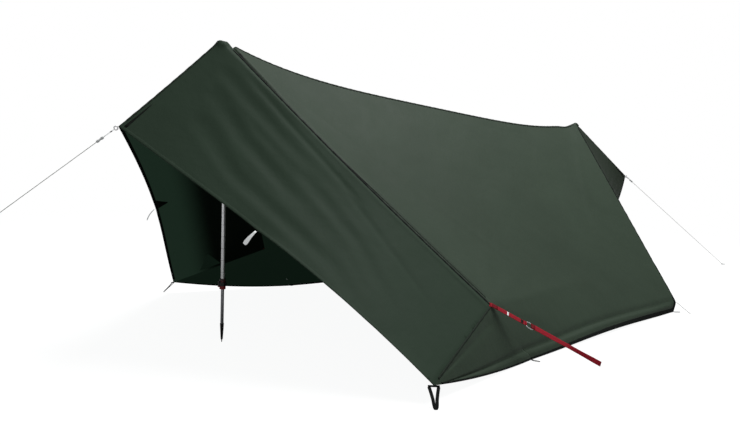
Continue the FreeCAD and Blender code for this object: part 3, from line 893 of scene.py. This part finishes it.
def hems():
    pieces = []
    for side, panels in PANELS.items():
        main, awning, rear, gusset = panels.values()
        for name, keys, kind, thickness, edges in (
                ("side", ["binding", "edging_and_shade"], 1, 0,
                 ((gusset.edge("bottom"), 60, 0.93, 0.0, 0.009, 0.01, 0.0016),
                  (main.edge("bottom"), 120, 0.0, 1.0, 0.012, 0.028, 0.0016),
                  (main.edge("back"), 18, 0.92, 1.0, 0.008, 0.038, 0.0018))),
                ("awning", ["awning", "edging_and_shade"], OUT_PLAIN, 0,
                 ((awning.edge("back"), 150, 0.005, 0.985, 0.013, 0.013, 0.0008),)),
                ("rear", ["binding", "edging_and_shade", "patch"], 1, 0.0005,
                 ((rear.edge("bottom"), 80, 0.0, 1.0, 0.014, 0.012, 0.0015),
                  (rear.edge("back"), 150, 0.02, 0.99, 0.01, 0.01, 0.0011)))):
            build = Build()
            for edge in edges:
                edge_binding(build, *edge, kind)
            # A near-black band on the inner side of the rear panel along the ground, in the reinforcement
            # cloth: painted shade of the shelter's inside.
            if name == "rear":
                build.grid([[rear.at(u, v, -0.0022) for v in np.linspace(0.868, 0.998, 8)]
                            for u in np.linspace(0.002, 0.995, 50)], kind=2)
            pieces.append(build.make(f"{name}_binding_{side}", keys, "binding", [f"{name}_hem_{side}"],
                                     thickness=thickness))
    return pieces


def sewn_patch(build, panel, start, end, widths, direction, lift):
    """A reinforcement along a line from start to end, both as (u, v), with a raised turned edge."""
    rows = []
    for t, width in zip(np.linspace(0, 1, len(widths)), widths):
        u, v = [a + (b - a) * t for a, b in zip(start, end)]
        rows.append([panel.at(u, v, lift * raised, **{direction: share * width}) for share, raised in
                     ((-1, 0.3), (-0.94, 1.25), (-0.5, 1), (0, 1), (0.5, 1), (0.94, 1.25), (1, 0.3))])
    build.grid(rows)


def patches():
    tips, toggle, corner, closure = Build(), Build(), Build(), Build()
    inside = -0.0014
    for panels in PANELS.values():
        awning, rear = panels["awning"], panels["rear"]
        for lift, share in ((inside, 0.8), (-inside, 0.4)):
            for panel, rise, end in ((awning, 0.009, (0.74, 0.01)), (rear, 0.011, (0.8, 0.012))):
                sewn_patch(tips, panel, (0.975, 0.007 + rise * share), end,
                           np.linspace(0.013, 0.001, 12) * share, "down", lift)
            sewn_patch(closure, rear, (0.965, 0.7), (0.965, 0.8),
                       0.012 + 0.03 * np.sin(np.linspace(0.2, 1.5, 12)), "across", lift)
        sewn_patch(toggle, awning, (0.975, 0.4), (0.875, 0.43), np.linspace(0.036, 0.002, 12), "down", inside)
        # The corner patches take the inner side's painted shade and glow.
        sewn_patch(corner, awning, (0.6, 0.9), (0.6, 0.985), np.linspace(0.004, 0.06, 10), "across", inside)
    return [build.make(f"sewn_{name}_patches", [key], "reinforcement", [f"{name}_patches"], thickness=0.0005)
            for build, name, key in ((tips, "beak_tip", "patch"), (toggle, "toggle", "patch"),
                                     (corner, "corner", "inside"), (closure, "closure", "patch"))]


# --- webbing ---
def peg_loops():
    """Flat loops of narrow tape on the ground, a peg's width open, each on a tongue from the hem."""
    half_length, half_width, gap = 0.016, 0.006, 0.005
    build = Build()
    for mirror in SIDES.values():
        for start, degrees in ((SIDE_PEG, 8), (REAR_CORNER_PEG, 50), (DOOR_PEG + vec(-0.002, 0.003, 0), 115)):
            turn = radians(degrees)
            ahead = vec(cos(turn), sin(turn), 0)
            beside = vec(-sin(turn), cos(turn), 0)
            foot = start * vec(1, 1, 0)
            path = np.array([
                foot + ahead * (gap + half_length + squared(c, 0.7) * half_length) + beside * s * half_width
                + vec(0, 0, 0.0011 + 0.0009 * (1 + c)) for c, s in circle(28)]) * mirror
            tape(build, path, path - path.mean(axis=0), 0.0042, 0.0014, closed=True)
            tongue = np.array([foot + ahead * x + vec(0, 0, z) for x, z in
                               ((-0.012, 0.006), (-0.004, 0.0035), (0.003, 0.0022), (gap + 0.003, 0.0016))])
            tape(build, tongue * mirror, beside * mirror, 0.011, 0.0014)
    build.make("hem_peg_loops", ["black_web"], "black_webbing", ["peg_loops"])


def corner_loops():
    """A V of tape from each front corner down to its peg, with a stitched bar across the top."""
    build = Build()
    across = unit(vec(0.63, 0.77, 0))
    top, bend = FRONT_CORNER + vec(0.003, -0.002, -0.004), FRONT_LOOP_PEG + vec(0, 0, 0.002)
    a, b = top + across * 0.016, top - across * 0.016
    path = np.array([a, a * 0.7 + bend * 0.3, a * 0.35 + bend * 0.65 + across * 0.001, bend + across * 0.004,
                     bend + vec(0.002, -0.0015, -0.003), bend - across * 0.004,
                     b * 0.35 + bend * 0.65 - across * 0.001, b * 0.7 + bend * 0.3, b])
    smooth = np.array([through(path[i:i + 3], [0, 1, 2], t) for i in range(0, 7, 2) for t in (0, 0.5, 1, 1.5)]
                      + [path[-1]])
    flat = np.cross(np.gradient(smooth, axis=0), np.cross(unit(bend - top), across))
    bar = np.array([top + across * x for x in np.linspace(-0.02, 0.02, 9)]) + vec(0, 0, 0.003)
    for mirror in SIDES.values():
        tape(build, smooth * mirror, flat * mirror, 0.0115, 0.0017)
        tape(build, bar * mirror, vec(0, 0, 1), 0.007, 0.0021)
    build.make("corner_webbing", ["black_web"], "black_webbing", ["front_corner_loops"])


# the way of the side straps, across them and out of their upper face
ALONG = unit(STRAP_PEG - SIDE_GUY_POINT)
ACROSS = unit(np.cross(ALONG, [0.6, -0.1, 0.79]))
OFF = np.cross(ACROSS, ALONG)
TAB_LENGTH = 0.158
RING_LENGTH, RING_WIDTH, RING_WIRE = 0.034, 0.03, 0.0016


def strap_points(distances, off=0.0):
    """Points along the strap's line from the side guy point, moved off it on its upper side."""
    start = SIDE_GUY_POINT + vec(0.003, 0, 0.002)
    return np.array([start + ALONG * d + OFF * z for d, z in
                     zip(distances, np.broadcast_to(off, len(distances)))])


def side_straps():
    """The sewn tab with its sleeves, the wire ring it holds and the strap from the ring to the peg."""
    near = strap_points([TAB_LENGTH + 0.0005 + RING_WIRE])[0]
    path = strap_points((-0.012, 0.002, 0.03, 0.075, 0.115, 0.15, 0.156),
                        (-0.0035, 0, 0, 0, 0, 0.0008, 0.0024))
    wrap = np.array([near + ALONG * cos(a) * 0.0028 + OFF * sin(a) * 0.0028
                     for a in np.radians(np.linspace(-200, 200, 11))])
    loop = np.array([near + ALONG * (RING_LENGTH / 2 * (1 - squared(c, 0.6)))
                     + ACROSS * squared(s, 0.75) * RING_WIDTH / 2 for c, s in circle(36)])
    start = TAB_LENGTH + RING_LENGTH * 0.55 + 0.004
    reach = length(STRAP_PEG - SIDE_GUY_POINT)
    shares = np.linspace(0, 1, 30)
    turn = -0.55 * ease((shares - 0.42) / 0.2)
    facing = np.cos(turn)[:, None] * ACROSS + np.sin(turn)[:, None] * OFF
    down = strap_points(start + (reach - start) * shares, RING_WIRE + 0.0022)
    width = 0.027 - 0.009 * ease((shares - 0.35) / 0.25) + 0.003 * ease((shares - 0.72) / 0.2)
    doubled = shares > 0.66
    under = down[doubled] - np.cross(facing[doubled], ALONG) * 0.0018
    bar = [down[0] + ALONG * x + OFF * 0.0016 for x in (0.0, 0.006, 0.012, 0.018)]
    tabs = Build()
    for side, mirror in SIDES.items():
        tape(tabs, path * mirror, ACROSS * mirror, 0.022, 0.0015)
        tape(tabs, wrap * mirror, ACROSS * mirror, 0.019, 0.0012)
        # The lowest sleeve takes the red webbing's painted shade.
        for first, last, kind in ((0.0, 0.026, 3), (0.07, 0.077, 1), (0.134, 0.146, 2)):
            sleeve = strap_points(np.linspace(first, last, 4))
            tape(tabs, sleeve * mirror, ACROSS * mirror, 0.0212, 0.003, kind=kind)
        ring = Build()
        wire(ring, loop * mirror, RING_WIRE * 1.25, closed=True)
        ring.make(f"wire_ring_{side}", ["metal"], "ring_metal", [f"strap_ring_{side}"], f"{side}_strap_ring")
        ground = Build()
        tape(ground, down * mirror, facing * mirror, width, 0.0017)
        # The doubled end's under layer and its bar take the red webbing's painted shade.
        tape(ground, under * mirror, facing[doubled] * mirror, width[doubled] * 0.96, 0.0016, kind=1)
        tape(ground, bar * mirror, ACROSS * mirror, 0.0235, 0.0016, kind=1)
        ground.make(f"peg_strap_{side}", ["red_web", "red_web_shaded"], "red_webbing", [f"ground_strap_{side}"],
                    f"{side}_ground_strap")
    tabs.make("side_tabs", ["red_web", "reflective", "black_web", "red_web_shaded"], "red_webbing", ["strap_tabs"])


def toggles():
    start, ahead = AWNING_EDGE_MIDDLE + vec(-0.003, -0.006, -0.004), unit(vec(-0.2, -0.62, -0.75))
    across = unit(vec(0.8, 0.4, -0.4))
    shares = np.array([0, 0.15, 0.3, 0.45, 0.6, 0.75, 0.88, 0.96, 1.0])
    width = [0.009, 0.0095, 0.011, 0.013, 0.0155, 0.0175, 0.0175, 0.015, 0.01]
    path = np.array([start + ahead * 0.062 * t + np.cross(ahead, across) * bow
                     for t, bow in zip(shares, 0.004 * np.sin(pi * shares))])
    for side, mirror in SIDES.items():
        build = Build()
        tape(build, path * mirror, across * mirror, width, 0.0017)
        build.make(f"awning_toggle_{side}", ["reflective"], "reflective_webbing", [f"toggle_{side}"],
                   f"{side}_toggle")


def door_closure():
    """A short tape with an open hook at its end."""
    start = DOOR_CORNER + vec(-0.008, -0.004, 0.01)
    end = start + vec(-0.046, 0, -0.026)
    build = Build()
    tape(build, mix(start, end, np.linspace(0, 1, 8)), vec(0, 0, 1), 0.01, 0.0016)
    centre = end + vec(-0.006, 0, -0.003)
    wire(build, [centre + vec(cos(a), 0, sin(a)) * 0.007 for a in np.radians(np.linspace(20, 310, 20))],
         0.0016, kind=1)
    build.make("door_hook", ["black_web", "black"], "black_plastic", ["closure_hook"], "closure_hook")


# --- cords ---
TAB_START, TAB_END = 0.0204, 0.062
LINE_RADIUS = 0.00125
# distance along the line, half width and half height of the slider's outline
SLIDER = ((0.069, 0.002, 0.002), (0.0695, 0.0042, 0.0034), (0.072, 0.0052, 0.0046), (0.078, 0.0054, 0.0048),
          (0.081, 0.0044, 0.0034), (0.085, 0.0042, 0.0032), (0.089, 0.0044, 0.0034), (0.092, 0.0054, 0.0048),
          (0.098, 0.0052, 0.0046), (0.1005, 0.0042, 0.0034), (0.101, 0.002, 0.002))


def cord_curve(name, start, stop, diameter, key):
    data = bpy.data.curves.new(name, "CURVE")
    data.dimensions = "3D"
    spline = data.splines.new("NURBS")
    spline.points.add(2)
    for spot, p in zip(spline.points, (start, (start + stop) / 2, stop)):
        spot.co = (*p, 1.0)
    spline.order_u = 3
    spline.use_endpoint_u = True
    data.resolution_u = 24
    data.bevel_depth = diameter / 2
    data.bevel_resolution = 3
    data.use_fill_caps = True
    data.materials.append(M[key])
    return add_object(name, data)


def guyline(end, tip, ground, pull):
    """The line, the loop and knot at its far end, and its slider. Pull is the way it runs along y."""
    along = unit(ground - tip)
    start, stop = tip + along * TAB_END, ground - along * 0.0047
    line = cord_curve(f"{end}_line", start, stop, 2 * LINE_RADIUS, "line")
    finish_piece(line, "canopy", "cord", f"{end}_guyline")
    loop = Build()
    radius = 0.018
    centre = vec(0, ground[1] + pull * radius, LINE_RADIUS)
    eye = [centre + vec(c * radius * 0.82, s * radius, 0) for c, s in circle(40)]
    wire(loop, eye, LINE_RADIUS, closed=True)
    knot = vec(0, ground[1], 0.0044)
    coil = [knot + vec(c * 0.0029, -pull * (0.0055 - 0.011 * k / 47), s * 0.0029)
            for k, (c, s) in enumerate(circle(12) * 4)]
    wire(loop, coil, LINE_RADIUS, sides=8)
    tail = [knot + vec(0.002 + 0.012 * t, pull * (0.004 + 0.006 * t), -0.0005 - 0.0022 * t)
            for t in (0, 0.5, 1)]
    wire(loop, tail, 0.0011, sides=8)
    ring = loop.make(f"{end}_line_loop", ["line"], "cord", [f"{end}_ground_loop"])
    side = vec(1, 0, 0)
    up = np.cross(side, along)
    slider = Build()
    slider.grid([[tip + along * place + side * squared(c, 0.6) * wide + up * squared(s, 0.6) * high
                  for c, s in circle(20)] for place, wide, high in SLIDER], ring=True, caps=True)
    block = slider.make(f"{end}_slider", ["pale"], "pale_plastic", [f"{end}_tensioner"], f"{end}_tensioner")
    tuple(start)


def corner_lines():
    for side, mirror in SIDES.items():
        start = (REAR_CORNER + vec(0.002, 0.002, -0.001)) * mirror
        stop = CORNER_LINE_PEG * mirror
        line = cord_curve(f"corner_cord_{side}", start, stop, 0.002, "dark_line")
        finish_piece(line, "canopy", "cord", f"corner_line_{side}")


def beak_ends():
    """The tab at each beak tip and the ring it holds."""
    tabs, rings = Build(), Build()
    across = vec(1, 0, 0)
    half = [(0.005, 0.0013), (0.0054, 0.0016), (0.0066, 0.00175), (0.0082, 0.0016), (0.009, 0.001)]
    profile = [(radius, -x) for radius, x in half] + half[::-1] + [(0.005, -0.0013)]
    for tip, ground in ((FRONT_TIP, FRONT_GUY_GROUND), (REAR_TIP, REAR_GUY_GROUND)):
        along = unit(ground - tip)
        tape(tabs, [tip + along * d for d in np.linspace(TAB_START, TAB_END, 8)], across, 0.011, 0.0016)
        tape(tabs, [tip + along * d for d in (0.03, 0.034, 0.038)], across, 0.0118, 0.0024, kind=1)
        turned(rings, profile, tip + along * 0.011, axis=across)
    tabs.make("tip_tabs", ["reflective", "black_web"], "reflective_webbing", ["beak_tabs"])
    rings.make("tip_rings", ["metal"], "ring_metal", ["beak_grommets"])


# --- poles ---
HEAD_RADIUS, TUBE_RADIUS = 0.0158, 0.0093


def grip(end, apex, body):
    """A foam handle with finger swells, a rounded plastic head and a ribbed foam sleeve below."""
    place, centre = vec(0, apex[1], 0), apex[2] - 0.048
    swells, ribs = [], []
    for down in 0.15 * np.arange(61) / 60:
        radius = 0.0139 + 0.0014 * cos(down / 0.15 * 2 * pi * 2.5) - 0.0004 * cos(down / 0.0035)
        swells.append((min(radius, HEAD_RADIUS), centre - 0.018 - down * 0.88))
    head = [(HEAD_RADIUS * sin(a), centre + HEAD_RADIUS * cos(a))
            for a in np.linspace(0.02, pi / 2, 12)]
    collar = [(HEAD_RADIUS, centre - 0.004), (0.0156, centre - 0.016), (0.0149, centre - 0.018)]
    build = Build()
    turned(build, head + collar, place, kind=1)
    turned(build, swells + [(0.0138, centre - 0.1505), (TUBE_RADIUS, centre - 0.1505)], place)
    build.make(f"{end}_grip", ["grip", "black"], "grip_foam", [f"{body}_grip"], body)
    foot = centre - 0.15
    for down in 0.148 * np.arange(101) / 100:
        groove = 0.0009 * bump((down % 0.0148) - 0.0074, 0.0022)
        ribs.append((0.0128 - groove - 0.0008 * bump(down, 0.004), foot - 0.001 - down))
    foam = Build()
    turned(foam, [(TUBE_RADIUS, foot - 0.0006), *ribs, (0.0122, foot - 0.1495), (TUBE_RADIUS, foot - 0.1495)],
           place)
    foam.make(f"{end}_foam", ["foam"], "red_foam", [f"{body}_foam"], body)


def paint(node, *keys, split=inf):
    """New materials on a CAD node, the last one below the height of the split."""
    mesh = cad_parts[node].data
    mesh.materials.clear()
    for key in keys:
        mesh.materials.append(M[key])
    if len(keys) > 1:
        for polygon in mesh.polygons:
            polygon.material_index = int(polygon.center.z < split)


def poles():
    for end, apex in (("front", FRONT_APEX), ("rear", REAR_APEX)):
        pole = f"{end}_pole"
        grip(end, apex, pole)
        for node, key in (("upper_tube", "tube"), ("middle_tube", "tube"), ("lower_tube", "dark_tube"),
                          ("tip", "black"), ("upper_clamp", "red"), ("upper_lever", "black"),
                          ("lower_lever", "black")):
            paint(f"{pole}_{node}", key)
        low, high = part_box(f"{pole}_lower_clamp")
        paint(f"{pole}_lower_clamp", "black", "red", split=(low[2] + high[2]) / 2 - 0.004)
    paint("apex_cups", "black")


TRIM = [seams(), *hems(), *patches()]
peg_loops()
corner_loops()
side_straps()
toggles()
door_closure()
guyline("front", FRONT_TIP, FRONT_GUY_GROUND, -1)
guyline("rear", REAR_TIP, REAR_GUY_GROUND, 1)
corner_lines()
beak_ends()
poles()


# --- camera ---
def camera():
    """Turned by an azimuth and an elevation round the aim, then rolled."""
    azimuth, elevation, roll = (radians(x) for x in (50.708, 5.623, 2.107))
    flat = cos(elevation)
    back = Vector((sin(azimuth) * flat, -cos(azimuth) * flat, sin(elevation)))
    right = Vector((cos(azimuth), sin(azimuth), 0))
    turn = Matrix.Rotation(-roll, 3, "Z") @ Matrix((right, back.cross(right), back))
    data = bpy.data.cameras.new("camera")
    data.sensor_width = 36
    data.lens = 34.157
    data.clip_end = 200
    cam = add_object("camera", data)
    aim, seen_at = Vector((0, -0.055, 0.5)), Vector((0.3575, 0.0325, -3.7225))
    cam.matrix_world = Matrix.Translation(aim - turn.transposed() @ seen_at) @ turn.transposed().to_4x4()
    bpy.context.scene.camera = cam


camera()


# --- studio ---


def studio():
    world = bpy.data.worlds.new("studio")
    bpy.context.scene.world = world
    world.use_nodes = True
    tree = world.node_tree
    ambient = tree.nodes["Background"]
    ambient.inputs[0].default_value = rgb(0.93, 0.94, 0.94)
    ambient.inputs[1].default_value = 0.16
    seen = tree.nodes.new("ShaderNodeBackground")
    seen.inputs[0].default_value = rgb(1.0, 1.0, 1.0)
    rays = tree.nodes.new("ShaderNodeLightPath")
    both = tree.nodes.new("ShaderNodeMixShader")
    for source, target in ((rays.outputs["Is Camera Ray"], 0), (ambient.outputs[0], 1), (seen.outputs[0], 2)):
        tree.links.new(source, both.inputs[target])
    tree.links.new(both.outputs[0], tree.nodes["World Output"].inputs[0])
    for name, place, size, power in (("key", (1.3, 2.3, 7.5), 5.0, 565), ("fill", (4.5, -5.5, 3.0), 4.0, 12)):
        light = bpy.data.lights.new(name, "AREA")
        light.size = size
        light.energy = power
        lamp = add_object(name, light)
        lamp.location = place
        lamp.rotation_euler = (Vector((0, 0, 0.4)) - Vector(place)).to_track_quat("-Z", "Y").to_euler()
    bpy.context.scene.view_settings.view_transform = "Standard"


def floor():
    """A wide disc that turns into the bright backdrop away from the object."""
    ring, radii = 96, (4, 8, 16, 40)
    points = [(0, 0, 0)] + [(radius * c, radius * s, 0) for radius in radii for c, s in circle(ring)]
    faces = [(0, 1 + k, 1 + (k + 1) % ring) for k in range(ring)]
    for a in range(1, 1 + (len(radii) - 1) * ring, ring):
        b = a + ring
        faces += [(a + k, b + k, b + (k + 1) % ring, a + (k + 1) % ring) for k in range(ring)]
    obj = mesh_object("floor", points, faces, [])
    n = Nodes("floor")
    far = n.add("VectorMath", {0: n.place()}, operation="LENGTH").outputs["Value"]
    n.share_surface(n.ramp(far, 2.6, 6.0), n.add("Emission", {"Color": rgb(1.0, 1.0, 1.0), "Strength": 1.0}))
    seen = n.add("LightPath").outputs["Is Camera Ray"]
    obj.data.materials.append(n.shade(
        Base_Color=n.blend(seen, rgb(0.34, 0.34, 0.34), rgb(0.14, 0.14, 0.14)), Roughness=0.9,
        Emission_Color=rgb(0.92, 0.925, 0.925), Emission_Strength=n.math("MULTIPLY", seen, 1.02)))


studio()
floor()
